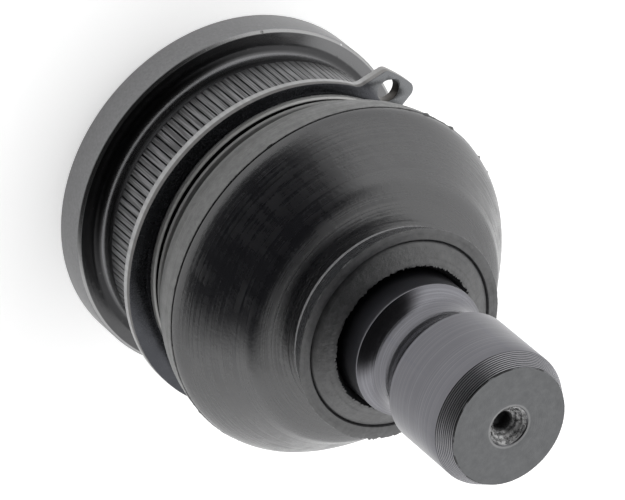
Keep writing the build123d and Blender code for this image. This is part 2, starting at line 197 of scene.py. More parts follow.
class Finish(Sheet):
    """The finish of a surface: a material with one principled shader.

    Its patterns lie by the places of the piece. On a piece that stretches they lie by the places
    that are stored with it under the name given as follows, and so they stretch with it.
    """

    def __init__(self, name, follows=None, **constants):
        self.material = bpy.data.materials.new(name)
        self.material.use_nodes = True
        super().__init__(self.material.node_tree)
        self.shader = self.tree.nodes["Principled BSDF"]
        for socket, value in constants.items():
            self.shader.inputs[socket.replace("_", " ")].default_value = value
        if follows:
            settings = {"attribute_name": follows}
            self.place = self.node("ShaderNodeAttribute", settings, output="Vector")
        else:
            self.place = self.node("ShaderNodeTexCoord", output="Object")
        self.x, self.y, self.z = self.parts_of(self.place)
        self.radius = self.reckon("SQRT", self.x * self.x + self.y * self.y)

    def parts_of(self, vector):
        """The three parts of a vector."""
        inputs = {0: vector}
        return [self.node("ShaderNodeSeparateXYZ", None, inputs, part) for part in "XYZ"]

    def noise(self, scale, detail=4.0, rough=0.55, stretch=(1, 1, 1), twist=0.0):
        """Cloudy noise on the piece, drawn out along an axis where stretch is under one."""
        stretched = {0: self.place, 1: stretch}
        at = self.node("ShaderNodeVectorMath", {"operation": "MULTIPLY"}, stretched)
        inputs = dict(Vector=at, Scale=scale, Detail=detail, Roughness=rough, Distortion=twist)
        return self.node("ShaderNodeTexNoise", inputs=inputs)

    def turned_lines(self, scale, detail=3.0):
        """Noise that runs round the axis of the joint, like the marks of a turning tool."""
        at = self.node("ShaderNodeCombineXYZ", inputs={0: self.radius, 2: self.z})
        inputs = {"Vector": at, "Scale": scale, "Detail": detail}
        return self.node("ShaderNodeTexNoise", inputs=inputs)

    def ribbed_lines(self, radius, scale):
        """Noise in long streaks along the axis of the joint, near a radius in millimetres."""
        x = self.x / self.radius * (radius * mm)
        y = self.y / self.radius * (radius * mm)
        at = self.node("ShaderNodeCombineXYZ", inputs={0: x, 1: y, 2: self.z * 0.03})
        inputs = {"Vector": at, "Scale": scale, "Detail": 2.0}
        return self.node("ShaderNodeTexNoise", inputs=inputs)

    def spot(self, x, y, z, size):
        """One round a point given in millimetres, falling to nothing at size from it."""
        at = {0: self.place, 1: (x * mm, y * mm, z * mm)}
        away = self.node("ShaderNodeVectorMath", {"operation": "DISTANCE"}, at, "Value")
        return self.step(away, size * 0.4 * mm, size * mm, 1.0, 0.0)

    def between(self, share, low, high):
        """A colour between two colours, by share."""
        inputs = {0: share, 6: low, 7: high}
        return self.node("ShaderNodeMix", {"data_type": "RGBA"}, inputs, output=2)

    def bump(self, height, depth):
        """Feed a height, in parts of depth in metres, to the shader's normal."""
        inputs = {"Height": height, "Distance": depth}
        self.feed("Normal", self.node("ShaderNodeBump", inputs=inputs))

    def feed(self, socket, value):
        """Link a value or a colour to a socket of the shader."""
        self.tree.links.new(value.socket, self.shader.inputs[socket])

    def dress(self, *pieces):
        """Give this finish to pieces in place of any they have."""
        for piece in pieces:
            if not piece.data.materials:
                piece.data.materials.append(None)
            for slot in piece.material_slots:
                slot.material = self.material


housing_outline = [
    (16.6, rolled_edge_z),
    (16.5, -16.3),
    (16.9, -16.95),
    (17.6, -17.42),
    (18.4, back_z),
    (19.3, -17.5),
    (20.0, -17.2),
    (20.6, -17.12),
    (21.2, -17.28),
    (21.9, back_z),
    (27.4, back_z),
    (27.72, -17.5),
    (flange_r, -17.2),
    (flange_r, flange_edge_z),
    (flange_face_r, flange_face_z),
    *arc(body_r + fillet_round, flange_face_z + fillet_round, fillet_round, -90, -180, 8),
    (body_r, clip_groove_z),
    (clip_groove_r, clip_groove_z),
    (clip_groove_r, land_z),
    (body_r, land_z),
    (body_r, land_end_z - land_chamfer),
    (body_r - land_chamfer, land_end_z),
    (boot_neck_r, land_end_z),
    (boot_neck_r, housing_lip_z),
    (housing_lip_r, housing_lip_z),
    (housing_lip_r, front_z),
    (16.0, front_z),
    (mouth_r, 8.5),
    (mouth_r, mouth_back_z),
    (15.8, mouth_back_z),
    (seat_bore_r, 5.55),
    (seat_bore_r, cap_step_z),
    (cap_bore_r, cap_step_z),
    (cap_bore_r, rolled_edge_z),
    (16.6, rolled_edge_z),
]
housing = turn("housing_turned", housing_outline, closed=True)
ease_edges(housing, 0.1)

# The knurl is rolled into the body: straight ribs with broad flat tops and narrow grooves.
knurl_z = -8.2
knurl_end_z = 0.6
knurl_r = 24.5
knurl_floor_r = 24.16
knurl_core_r = 23.5
rib_end_r = 24.06
ribs = 134
points_per_rib = 8
knurl_outline = [
    (knurl_core_r, knurl_z),
    (rib_end_r, knurl_z),
    (24.3, knurl_z + 0.16),
    (24.44, knurl_z + 0.36),
    (knurl_r, knurl_z + 0.6),
    (knurl_r, knurl_end_z - 0.5),
    (24.42, knurl_end_z - 0.28),
    (24.25, knurl_end_z - 0.1),
    (rib_end_r, knurl_end_z),
    (knurl_core_r, knurl_end_z),
    (knurl_core_r, knurl_z),
]
knurl = turn("knurl", knurl_outline, around=ribs * points_per_rib, closed=True)
pitch = 2 * pi / ribs
for ring_r, ring_z in knurl_outline[1:-2]:
    for vertex in knurl.data.vertices:
        where = vertex.co
        turned = Vector((where.x, where.y)).angle_signed(Vector((1, 0))) / pitch
        in_groove = abs(turned - round(turned)) < 0.5 / points_per_rib
        vertex.select = in_groove and abs(where.z - ring_z * mm) < 0.01 * mm
    for part in (*knurl.data.edges, *knurl.data.polygons):
        part.select = False
    bpy.context.view_layer.objects.active = knurl
    bpy.ops.object.mode_set(mode="EDIT")
    share = knurl_floor_r / ring_r
    bpy.ops.transform.resize(value=(share, share, 1), center_override=(0, 0, ring_z * mm))
    bpy.ops.object.mode_set(mode="OBJECT")
bpy.ops.object.shade_smooth_by_angle(angle=radians(25))

bpy.ops.object.select_all(action="DESELECT")
knurl.select_set(True)
housing.select_set(True)
bpy.context.view_layer.objects.active = housing
bpy.ops.object.join()

film = (0.05, 0.05, 0.051, 1), (0.1, 0.1, 0.102, 1)
painted_reflection_grey = (0.2, 0.2, 0.203, 1)
rib_film = (0.09, 0.09, 0.092, 1), (0.205, 0.205, 0.21, 1)
painted_fillet_shade = (0.02, 0.02, 0.021, 1)
painted_fillet_highlight = (0.3, 0.3, 0.31, 1)
painted_relief_shade = (0.03, 0.03, 0.032, 1)
worn_and_reflecting_rim = (0.29, 0.29, 0.295, 1)
worn_and_reflecting_chamfer = (0.32, 0.32, 0.32, 1)
turned_land = (0.12, 0.12, 0.12, 1), (0.5, 0.5, 0.49, 1)
painted_gap_shade = (0.02, 0.018, 0.016, 1)
worn_speck = (0.32, 0.32, 0.31, 1)
dint_shade = (0.04, 0.04, 0.04, 1)
bare_steel = (0.6, 0.6, 0.6, 1)
fillet_r = 24.55
fillet_end_r = 25.6
fillet_end_z = -11.2
root_end_z = -9.8
relief_z = -9.7
reflection_full_x = -22
reflection_gone_x = -13
nick_place = -25.8, -9.45, -12.1
rim_dint_place = -17.2, -21.45, -12.1
face_dint_place = -24.0, -8.4, flange_face_z

dark_steel = Finish("phosphated_steel", Metallic=1.0)
height = dark_steel.z
clouds = dark_steel.noise(170, 5.0, 0.6)
grain = dark_steel.noise(2400, 3.0)
specks = dark_steel.step(dark_steel.noise(900, 5.0, 0.75), 0.6, 0.7)
lines = dark_steel.turned_lines(3200)
rib_lines = dark_steel.ribbed_lines(knurl_r, 5200)
on_rim = dark_steel.step(dark_steel.radius, (flange_r - 0.12) * mm, (flange_r - 0.05) * mm)
inside_edge = (flange_face_r - 0.03) * mm
outside_edge = (flange_face_r + 0.03) * mm
on_edge = dark_steel.step(dark_steel.radius, inside_edge, outside_edge) - on_rim
in_fillet = dark_steel.band(dark_steel.radius, fillet_r * mm, fillet_end_r * mm, 0.15 * mm)
in_fillet = in_fillet * (height < fillet_end_z * mm)
on_root = dark_steel.band(height, fillet_end_z * mm, root_end_z * mm, 0.12 * mm)
on_relief = dark_steel.band(height, relief_z * mm, (knurl_z + 0.1) * mm, 0.15 * mm)
on_knurl = dark_steel.band(height, knurl_z * mm, knurl_end_z * mm, 0.1 * mm)
on_land = dark_steel.band(height, (land_z - 0.02) * mm, (land_end_z - 0.06) * mm, 0.03 * mm)
behind_boot = dark_steel.step(height, (land_end_z - 0.06) * mm, (land_end_z - 0.01) * mm)
bright_nick = dark_steel.spot(*nick_place, 0.24)
dints = dark_steel.spot(*rim_dint_place, 0.35) + dark_steel.spot(*face_dint_place, 0.4) * 0.4
colour = dark_steel.between(clouds * 0.6 + grain * 0.4, *film)
# Painted reflection: the flange is painted paler on its side towards negative x.
painted_reflection_side = dark_steel.step(dark_steel.x, reflection_full_x * mm, reflection_gone_x * mm, 1.0, 0.0)
painted_reflection_side = painted_reflection_side * (dark_steel.radius > (body_r + 0.6) * mm)
colour = dark_steel.between(painted_reflection_side * 0.5, colour, painted_reflection_grey)
rib_colour = dark_steel.between(dark_steel.step(rib_lines, 0.4, 0.6), *rib_film)
colour = dark_steel.between(on_knurl, colour, rib_colour)
# Painted shade on the outer part of the fillet.
colour = dark_steel.between(in_fillet * 0.8, colour, painted_fillet_shade)
# Painted highlight: a paler ring where the fillet meets the body.
colour = dark_steel.between(on_root * 0.34, colour, painted_fillet_highlight)
# Painted shade on the plain relief between the fillet and the knurl.
colour = dark_steel.between(on_relief * 0.6, colour, painted_relief_shade)
# The rim and the chamfer are paler: partly wear, partly painted reflection.
colour = dark_steel.between(on_rim * (0.45 + grain * 0.5), colour, worn_and_reflecting_rim)
colour = dark_steel.between(on_edge * 0.7, colour, worn_and_reflecting_chamfer)
land_colour = dark_steel.between(dark_steel.step(lines, 0.35, 0.65), *turned_land)
colour = dark_steel.between(on_land, colour, land_colour)
# Painted shade on the neck behind the land, in the gap under the boot.
colour = dark_steel.between(behind_boot * 0.8, colour, painted_gap_shade)
colour = dark_steel.between(specks * (0.15 + on_rim * 0.4), colour, worn_speck)
colour = dark_steel.between(dints * 0.4, colour, dint_shade)
colour = dark_steel.between(bright_nick * 0.6, colour, bare_steel)
dark_steel.feed("Base Color", colour)
dark_steel.feed("Metallic", 1.0 - on_land * 0.85)
rough = 0.18 + clouds * 0.08 + grain * 0.06 + on_rim * 0.16 + on_land * 0.2
dark_steel.feed("Roughness", rough + on_knurl * rib_lines * 0.2)
relief = grain * 0.5 + clouds * 0.3 + lines * 0.35 + specks * (0.3 + on_rim)
relief = relief + on_knurl * rib_lines * 2.5
dark_steel.bump(relief - dints * 2.0, 0.02 * mm)
dark_steel.dress(housing)
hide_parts("housing")
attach(housing, "housing")

# ---------------------------------------------------------------------------------------------
# CLOSING CAP. A disc of steel sheet, pressed with a dish for the spring, that shuts the housing
# from behind. The housing's edge is rolled over it.
# ---------------------------------------------------------------------------------------------
cap_back_z = -17.1
cap_r = 18.95
cap_rim_back_z = -15.9
cap_front_z = -14.12
dish_z = -15.28


def close_end(piece):
    """Close the open ring of a turned piece with a fan of faces, and face them all outwards."""
    bpy.context.view_layer.objects.active = piece
    bpy.ops.object.mode_set(mode="EDIT")
    bpy.ops.mesh.select_all(action="DESELECT")
    bpy.ops.mesh.select_non_manifold()
    bpy.ops.mesh.edge_face_add()
    bpy.ops.mesh.poke()
    bpy.ops.mesh.select_all(action="SELECT")
    bpy.ops.mesh.normals_make_consistent(inside=False)
    bpy.ops.object.mode_set(mode="OBJECT")


cap_outline = [
    (0.4, cap_back_z),
    (12.6, cap_back_z),
    (13.2, -16.98),
    (13.8, -16.2),
    (14.4, -15.94),
    (cap_r, cap_rim_back_z),
    (cap_r, cap_front_z),
    (12.9, cap_front_z),
    (12.3, dish_z),
    (0.4, dish_z),
    (0, dish_z),
]
closing_cap = turn("closing_cap_pressed", cap_outline, around=192)
close_end(closing_cap)
ease_edges(closing_cap, 0.15)

mill_scale = (0.06, 0.06, 0.058, 1), (0.15, 0.148, 0.14, 1)
sheet_steel = Finish("pressed_sheet", Metallic=0.7)
clouds = sheet_steel.noise(160, 5.0)
grain = sheet_steel.noise(2400, 3.0)
drawn = sheet_steel.turned_lines(1800)
colour = sheet_steel.between(clouds, *mill_scale)
sheet_steel.feed("Base Color", colour)
sheet_steel.feed("Roughness", 0.35 + drawn * 0.2 + grain * 0.1)
sheet_steel.bump(grain * 0.5 + drawn * 0.6, 0.02 * mm)
sheet_steel.dress(closing_cap)
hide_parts("closing_cap")
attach(closing_cap, "housing")

# ---------------------------------------------------------------------------------------------
# DISC SPRING. A coned ring of hardened spring steel in the cap's dish. It presses the seat
# against the ball and takes up wear. Oil-blacked.
# ---------------------------------------------------------------------------------------------
oil_black = (0.03, 0.032, 0.04, 1), (0.07, 0.07, 0.08, 1)
spring_steel = Finish("blued_spring_steel", Metallic=0.85)
grain = spring_steel.noise(2200, 4.0)
colour = spring_steel.between(grain, *oil_black)
spring_steel.feed("Base Color", colour)
spring_steel.feed("Roughness", 0.3 + grain * 0.2)
spring_steel.bump(grain, 0.01 * mm)
spring_steel.dress(nodes["disc_spring"])

# ---------------------------------------------------------------------------------------------
# BALL SEAT. Two halves moulded in white acetal with grease grooves. They hold the ball between
# the spring and the taper of the housing.
# ---------------------------------------------------------------------------------------------
creamy_white = (0.74, 0.73, 0.68, 1), (0.82, 0.81, 0.77, 1)
glow_depth = 1.0
acetal = Finish("white_acetal", Roughness=0.4, Subsurface_Weight=0.1)
acetal.shader.inputs["Subsurface Radius"].default_value = [glow_depth * mm] * 3
grain = acetal.noise(1500, 4.0)
colour = acetal.between(grain, *creamy_white)
acetal.feed("Base Color", colour)
acetal.bump(grain, 0.01 * mm)
acetal.dress(nodes["seat_back"], nodes["seat_front"])

# ---------------------------------------------------------------------------------------------
# BALL STUD. Forged in alloy steel, then turned and ground: ball, neck, shoulder, a round groove
# for the pinch bolt, and the end that the knuckle clamps. Left bright, oiled, with a centre
# drilling and coarse turning lines on its chamfer.
# ---------------------------------------------------------------------------------------------
ball_r = 15.0
ball_flat_z = -12.9
stud_r = 10.5
stud_neck_r = 8.0
shoulder_end_z = 38.8
barrel_z = 47.8
chamfer_z = 60.1
stud_end_z = 62.9
chamfer_end_r = 9.12
groove_round = 5.5
turning_lines = 10
turning_line_depth = 0.09
flat_angle = degrees(asin(ball_flat_z / ball_r))
neck_angle = 53.0
groove_half = (barrel_z - shoulder_end_z) / 2
groove_middle_z = (barrel_z + shoulder_end_z) / 2
groove_centre_r = stud_r + sqrt(groove_round**2 - groove_half**2)
groove_turn = degrees(asin(groove_half / groove_round))
groove_ends = 180 + groove_turn, 180 - groove_turn
groove = arc(groove_centre_r, groove_middle_z, groove_round, *groove_ends, 24)
stud_outline = [
    (3.5, ball_flat_z),
    *arc(0, 0, ball_r, flat_angle, neck_angle, 30),
    (8.45, 12.75),
    (8.1, 13.5),
    (stud_neck_r, 14.6),
    (stud_neck_r, 19.5),
    (8.25, 20.8),
    (9.9, 24.6),
    (10.35, 25.6),
    (stud_r, 26.6),
    (stud_r, 34.0),
    (stud_r, shoulder_end_z - 0.12),
    (stud_r - 0.05, shoulder_end_z),
    *groove[1:-1],
    (stud_r - 0.05, barrel_z),
    (stud_r, barrel_z + 0.12),
    (stud_r, 52.0),
    (stud_r, 56.0),
    (stud_r, chamfer_z - 0.1),
    (stud_r - 0.03, chamfer_z),
]
# The chamfer is a row of shallow steps, one for each turn of the tool's feed. After it come the
# flat end and the centre drilling.
fall = (stud_r - chamfer_end_r) / turning_lines
rise = (stud_end_z - chamfer_z) / turning_lines
for line in range(turning_lines):
    line_r = stud_r - fall * line
    line_z = chamfer_z + rise * line
    stud_outline += [
        (line_r - 0.3 * fall - turning_line_depth, line_z + 0.22 * rise),
        (line_r - 0.6 * fall, line_z + 0.6 * rise),
        (line_r - fall, line_z + rise),
    ]
stud_outline += [
    (chamfer_end_r - 0.12, stud_end_z),
    (6.5, stud_end_z),
    (4.4, stud_end_z),
    (3.35, stud_end_z),
    (3.15, stud_end_z - 0.06),
    (2.98, stud_end_z - 0.3),
    (2.62, stud_end_z - 0.72),
    (2.55, stud_end_z - 0.62),
    (2.42, stud_end_z - 0.98),
    (2.1, stud_end_z - 1.3),
    (2.02, stud_end_z - 1.22),
    (1.9, stud_end_z - 1.62),
    (1.66, stud_end_z - 1.86),
    (1.58, stud_end_z - 1.8),
    (1.4, stud_end_z - 2.35),
    (1.35, stud_end_z - 3.4),
    (0.7, stud_end_z - 3.75),
    (0, stud_end_z - 3.9),
]
stud = turn("ball_stud_ground", stud_outline, around=256)
close_end(stud)
bpy.ops.object.shade_smooth_by_angle(angle=radians(22))

ground_grey = (0.11, 0.11, 0.12, 1), (0.165, 0.163, 0.177, 1)
blue_streak = (0.1, 0.105, 0.13, 1)
bright_line = (0.26, 0.262, 0.28, 1)
tool_shade = (0.012, 0.012, 0.013, 1)
tool_shine = (0.34, 0.34, 0.345, 1)
painted_boot_shade = (0.07, 0.07, 0.08, 1)
sawn_grey = (0.085, 0.087, 0.09, 1), (0.15, 0.152, 0.155, 1)
painted_ridge_highlight = (0.3, 0.3, 0.3, 1)
rubble_grey = (0.16, 0.16, 0.162, 1), (0.6, 0.6, 0.6, 1)
painted_core_shade = (0.06, 0.06, 0.062, 1)
burr_shade = (0.015, 0.015, 0.015, 1)
drill_r = 3.0
ridge_r = 3.45
core_r = 1.3
core_end_r = 1.7

ground = Finish("ground_steel", Metallic=1.0)
height = ground.z
clouds = ground.noise(150, 4.0)
grain = ground.noise(2400, 3.0)
rings = ground.turned_lines(900)
fine_rings = ground.turned_lines(4200)
in_groove = ground.band(height, shoulder_end_z * mm, barrel_z * mm, 0.1 * mm)
boot_end = (shoulder_end_z - 0.3) * mm
in_boot = ground.step(height, boot_end, boot_end + 0.1 * mm, 1.0, 0.0)
on_end = ground.step(height, (stud_end_z - 0.1) * mm, (stud_end_z - 0.05) * mm)
streaks = ground.ribbed_lines(stud_r, 500)
on_ridge = ground.band(ground.radius, drill_r * mm, ridge_r * mm, 0.12 * mm) * on_end
in_drill = ground.step(ground.radius, (drill_r - 0.05) * mm, (drill_r + 0.1) * mm, 1.0, 0.0)
in_drill = in_drill * (height > (stud_end_z - 4) * mm)
burr_r = (chamfer_end_r - 0.05) * mm
burr = ground.band(ground.radius, burr_r, (chamfer_end_r + 0.12) * mm, 0.05 * mm)
burr = burr * (height > (stud_end_z - 0.4) * mm)
burr = burr * ground.step(ground.noise(500, 3.0), 0.42, 0.52)
mottle = ground.noise(700, 4.0, 0.7)
colour = ground.between(clouds * 0.5 + rings * 0.5, *ground_grey)
colour = ground.between(ground.step(streaks, 0.55, 0.7) * 0.2, colour, blue_streak)
colour = ground.between(ground.step(fine_rings, 0.45, 0.7) * 0.35, colour, bright_line)
on_chamfer = ground.band(height, chamfer_z * mm, stud_end_z * mm, 0.05 * mm)
pass_of_tool = ground.reckon("FRACT", (height - chamfer_z * mm) / (rise * mm))
tool_lines = on_chamfer * ground.band(pass_of_tool, 0.08, 0.45, 0.08) * (0.3 + clouds)
colour = ground.between(tool_lines * 0.9, colour, tool_shade)
colour = ground.between(on_chamfer * (pass_of_tool > 0.55) * 0.5, colour, tool_shine)
# Painted shade on the stud inside the boot and up to its shoulder, by the collar.
colour = ground.between(in_boot, colour, painted_boot_shade)
end_colour = ground.between(mottle, *sawn_grey)
colour = ground.between(on_end, colour, end_colour)
# Painted highlight on the ridge round the centre drilling.
colour = ground.between(on_ridge * (0.2 + mottle * 0.4), colour, painted_ridge_highlight)
rubble = ground.step(ground.noise(900, 5.0, 0.8), 0.4, 0.6)
drill_colour = ground.between(rubble, *rubble_grey)
# Painted shade in the deep core of the centre drilling.
core = ground.step(ground.radius, core_r * mm, core_end_r * mm, 1.0, 0.0)
drill_colour = ground.between(core, drill_colour, painted_core_shade)
colour = ground.between(in_drill, colour, drill_colour)
colour = ground.between(burr * 0.85, colour, burr_shade)
ground.feed("Base Color", colour)
coarse_rings = ground.turned_lines(1500, 2.0)
rough = 0.22 + rings * 0.12 + grain * 0.06 + on_end * 0.16 + in_drill * 0.3 - in_groove * 0.1
ground.feed("Roughness", rough)
relief = rings * 0.7 + fine_rings * 0.9 + grain * 0.15 + in_groove * coarse_rings * 1.6
relief = relief + on_end * (grain * 1.2 + mottle) + in_drill * rubble * 2.5
ground.bump(relief, 0.02 * mm)
ground.dress(stud)
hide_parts("ball_stud")
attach(stud, "stud")

# ---------------------------------------------------------------------------------------------
# NECK RING. A plain steel ring snapped inside the boot's collar, which it stiffens round the
# stud. Bright drawn steel.
# ---------------------------------------------------------------------------------------------
drawn_grey = (0.28, 0.28, 0.28, 1), (0.45, 0.45, 0.44, 1)
drawn_steel = Finish("bright_drawn_steel", Metallic=1.0)
grain = drawn_steel.noise(1800, 4.0)
lines = drawn_steel.turned_lines(1500)
colour = drawn_steel.between(lines, *drawn_grey)
drawn_steel.feed("Base Color", colour)
drawn_steel.feed("Roughness", 0.25 + grain * 0.2)
drawn_steel.bump(lines * 0.5 + grain * 0.5, 0.01 * mm)
drawn_steel.dress(nodes["boot_neck_ring"])

# ---------------------------------------------------------------------------------------------
# BOOT. Moulded in black rubber: a bead on the neck of the housing, a belly with the mould's
# parting line at its widest, a dome, and a stiff collar with a sealing lip on the stud. Rubber
# flash is left along the parting line and round the collar's edge.
# ---------------------------------------------------------------------------------------------
bead_z = 5.2
bead_r = 21.4
bead_front_z = 8.9
bead_lip_r = 24.1
ring_groove_z = 6.7
ring_groove_end_z = 7.9
ring_groove_r = 22.9
foot_r = 25.0
mould_r = 27.6
mould_z = 15.6
flash = 0.16
shoulder_r = 21.1
shoulder_z = 26.1
collar_neck_r = 14.6
collar_neck_z = 28.7
collar_z = 29.5
collar_r = 16.5
collar_face_z = 33.3
hole_edge_z = 34.68
stud_lip_r = 10.6
ring_pocket_r = 13.25
ring_pocket_z = 30.5
ring_pocket_end_z = 32.5
wall = 2.0


def swept(first, first_pull, last_pull, last, steps):
    """Points along a smooth curve of the boot's outline between two (radius, height) ends."""
    corners = (first, first_pull, last_pull, last)
    ends = [Vector((radius, 0, height)) for radius, height in corners]
    return [(point.x, point.z) for point in interpolate_bezier(*ends, steps)]


foot = (foot_r, ring_groove_end_z)
belly_end = (mould_r, mould_z - 0.25)
dome_start = (mould_r, mould_z + 0.25)
shoulder = (shoulder_r, shoulder_z)
collar_neck = (collar_neck_r, collar_neck_z)
belly = swept(foot, (26.35, 9.6), (mould_r, 12.4), belly_end, 12)
dome = swept(dome_start, (27.8, 17.3), (23.6, 22.4), shoulder, 18)
roll = swept(shoulder, (20.35, 27.15), (17.4, 27.85), collar_neck, 10)
# The halves of the mould part here: a thin ridge of flash with a sharp step before it.
parting = [(mould_r + flash, mould_z), (mould_r - flash, mould_z + 0.06)]
# The lining follows the outside at the thickness of the wall.
outside = belly + dome + roll[1:]
lining = []
for before, here, after in list(zip(outside, outside[1:], outside[2:]))[3:-1:2]:
    along = (Vector(after) - Vector(before)).normalized()
    lining.append((here[0] - wall * along.y, here[1] + wall * along.x))
boot_outline = [
    (bead_r, bead_front_z),
    (bead_r, bead_z),
    (bead_lip_r - 0.15, bead_z),
    (bead_lip_r, bead_z + 0.15),
    (bead_lip_r, bead_z + 0.65),
    (bead_lip_r - 0.15, bead_z + 0.8),
    (bead_lip_r - 0.7, bead_z + 0.9),
    (bead_lip_r - 0.8, ring_groove_z - 0.1),
    (bead_lip_r - 0.9, ring_groove_z),
    (ring_groove_r, ring_groove_z),
    (ring_groove_r, ring_groove_end_z),
    (foot_r - 0.3, ring_groove_end_z),
    *belly,
    *parting,
    *dome,
    *roll[1:],
    (14.3, 29.1),
    (14.7, 29.42),
    (15.15, collar_z),
    (15.38, collar_z + 0.22),
    (15.45, collar_z + 0.5),
    (collar_r, collar_face_z - 0.35),
    (collar_r + 0.08, collar_face_z - 0.15),
    (collar_r, collar_face_z),
    (15.2, collar_face_z + 0.16),
    (14.95, collar_face_z + 0.1),
    (14.72, collar_face_z - 0.28),
    (14.5, collar_face_z + 0.12),
    (14.3, collar_face_z + 0.28),
    (12.1, 34.46),
    (11.75, 34.6),
    (11.65, 34.64),
    (11.45, hole_edge_z),
    (11.35, 34.5),
    (stud_lip_r, 33.3),
    (stud_lip_r, 32.85),
    (11.2, ring_pocket_end_z),
    (ring_pocket_r, ring_pocket_end_z),
    (ring_pocket_r, ring_pocket_z),
    (11.2, ring_pocket_z),
    (stud_lip_r, 30.15),
    (stud_lip_r, 28.9),
    (12.4, 26.8),
    *reversed(lining),
    (22.7, bead_front_z),
    (bead_r, bead_front_z),
]
boot = turn("boot_moulded", boot_outline, around=384, closed=True)

# The flash was torn off by hand: it is ragged along the parting line, with a few bits that stand
# out, hangs from the collar's rim on one side, and leaves a rough edge round the hole.
torn = random.Random(7)
torn_bits = (206.0, 194.5, 178.0, 171.5, 262.0, 118.0)
torn_half_width = 0.8
hanging_angle = 43
hanging_half_width = 26
near = 0.02 * mm
for vertex in boot.data.vertices:
    radius = sqrt(vertex.co.x**2 + vertex.co.y**2)
    angle = degrees(atan2(vertex.co.y, vertex.co.x)) % 360
    grow = 0
    if abs(vertex.co.z - mould_z * mm) < near and radius > (mould_r + 0.05) * mm:
        grow = torn.choice((0, 0, 0, 0.001, 0.002, 0.003)) * torn.random() - 0.0022
        if min(abs(angle - bit) for bit in torn_bits) < torn_half_width:
            grow = torn.uniform(0.003, 0.007)
    elif abs(vertex.co.z - (collar_face_z - 0.15) * mm) < near and radius > collar_r * mm:
        hanging = max(0, 1 - ((angle - hanging_angle) / hanging_half_width) ** 2)
        grow = torn.uniform(-0.002, 0.004) + hanging * torn.uniform(0.012, 0.034)
    elif vertex.co.z > (hole_edge_z - 0.03) * mm:
        grow = torn.uniform(-0.018, 0.012)
        vertex.co.z += torn.uniform(-0.06, 0.06) * mm
    vertex.co.x *= 1 + grow
    vertex.co.y *= 1 + grow
bpy.ops.object.select_all(action="DESELECT")
boot.select_set(True)
bpy.context.view_layer.objects.active = boot
bpy.ops.object.shade_smooth_by_angle(angle=radians(40))

# The finish follows the rubber as it stretches, by the place where each point was moulded.
moulded_at = boot.data.attributes.new("moulded_at", "FLOAT_VECTOR", "POINT")
for vertex in boot.data.vertices:
    moulded_at.data[vertex.index].vector = vertex.co

rubber_black = (0.004, 0.004, 0.006, 1), (0.01, 0.01, 0.013, 1)
belly_bloom = (0.05, 0.051, 0.05, 1), (0.135, 0.137, 0.133, 1)
foot_bloom = (0.2, 0.203, 0.198, 1)
painted_parting_shade = (0.004, 0.004, 0.004, 1)
collar_bloom = (0.003, 0.003, 0.004, 1), (0.05, 0.051, 0.053, 1)
painted_collar_highlight = (0.42, 0.42, 0.43, 1)
side_bloom = (0.06, 0.061, 0.064, 1)
painted_bead_highlight = (0.16, 0.16, 0.157, 1)
foot_bloom_z = 8.4
foot_bloom_end_z = 11.0

rubber = Finish("black_rubber", follows="moulded_at", Specular_IOR_Level=1.0)
height = rubber.z
clouds = rubber.noise(110, 5.0)
grain = rubber.noise(2200, 4.0)
speckle = rubber.noise(1200, 3.0, 0.6)
patches = rubber.step(rubber.noise(150, 3.0), 0.4, 0.6)
long_scuffs = rubber.turned_lines(2600, 5.0)
short_scuffs = rubber.noise(500, 5.0, 0.7, stretch=(1, 0.3, 0.3), twist=0.4)
scuffs = long_scuffs * 0.6 + short_scuffs * 0.4
behind = rubber.step(height, (mould_z - 0.4) * mm, (mould_z - 0.1) * mm, 1.0, 0.0)
on_collar = rubber.step(height, (collar_face_z - 0.3) * mm, (collar_face_z - 0.1) * mm)
on_inner = rubber.step(height, (collar_face_z + 0.22) * mm, (collar_face_z + 0.4) * mm)
on_back = rubber.band(height, (collar_z - 0.12) * mm, (collar_z + 0.95) * mm, 0.12 * mm)
on_back = on_back * rubber.step(rubber.radius, 14.75 * mm, 14.9 * mm)
mottle = rubber.noise(900, 5.0, 0.75)
colour = rubber.between(clouds, *rubber_black)
belly_colour = rubber.between(rubber.step(mottle, 0.25, 0.75), *belly_bloom)
colour = rubber.between(behind * 0.8, colour, belly_colour)
by_foot = rubber.step(height, foot_bloom_z * mm, foot_bloom_end_z * mm, 1.0, 0.0) * behind
colour = rubber.between(by_foot * 0.7, colour, foot_bloom)
# Painted shade: a dark line on the dome's side of the parting step.
in_parting = rubber.band(height, (mould_z + 0.02) * mm, (mould_z + 0.2) * mm, 0.03 * mm)
colour = rubber.between(in_parting * 0.9, colour, painted_parting_shade)
collar_colour = rubber.between(rubber.step(mottle, 0.3, 0.7), *collar_bloom)
colour = rubber.between(on_collar * 0.8, colour, collar_colour)
# Painted highlight on the back rim of the collar.
colour = rubber.between(on_back * 0.9, colour, painted_collar_highlight)
on_side = rubber.band(height, (collar_z + 1.1) * mm, (collar_face_z - 0.3) * mm, 0.1 * mm)
on_side = on_side * rubber.step(rubber.radius, 15.3 * mm, 15.4 * mm)
colour = rubber.between(on_side * 0.8, colour, side_bloom)
# Painted highlight on the back lip of the bead, before the ring groove.
on_bead = rubber.step(height, (ring_groove_z - 0.05) * mm, ring_groove_z * mm, 1.0, 0.0)
colour = rubber.between(on_bead * 0.9, colour, painted_bead_highlight)
rubber.feed("Base Color", colour)
scuffed = rubber.step(scuffs, 0.42, 0.62) * (0.4 + patches * 0.6)
rough = 0.2 + clouds * 0.04 + scuffed * 0.16 + behind * 0.2 + on_collar * 0.2
rubber.feed("Roughness", rough)
relief = grain * 0.6 + scuffed * 0.5 + speckle * (0.25 + on_collar * 0.7 + behind * 1.2)
relief = relief + on_inner * mottle * 3.0
rubber.bump(relief, 0.03 * mm)
rubber.dress(boot)
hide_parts("boot")
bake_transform(boot)

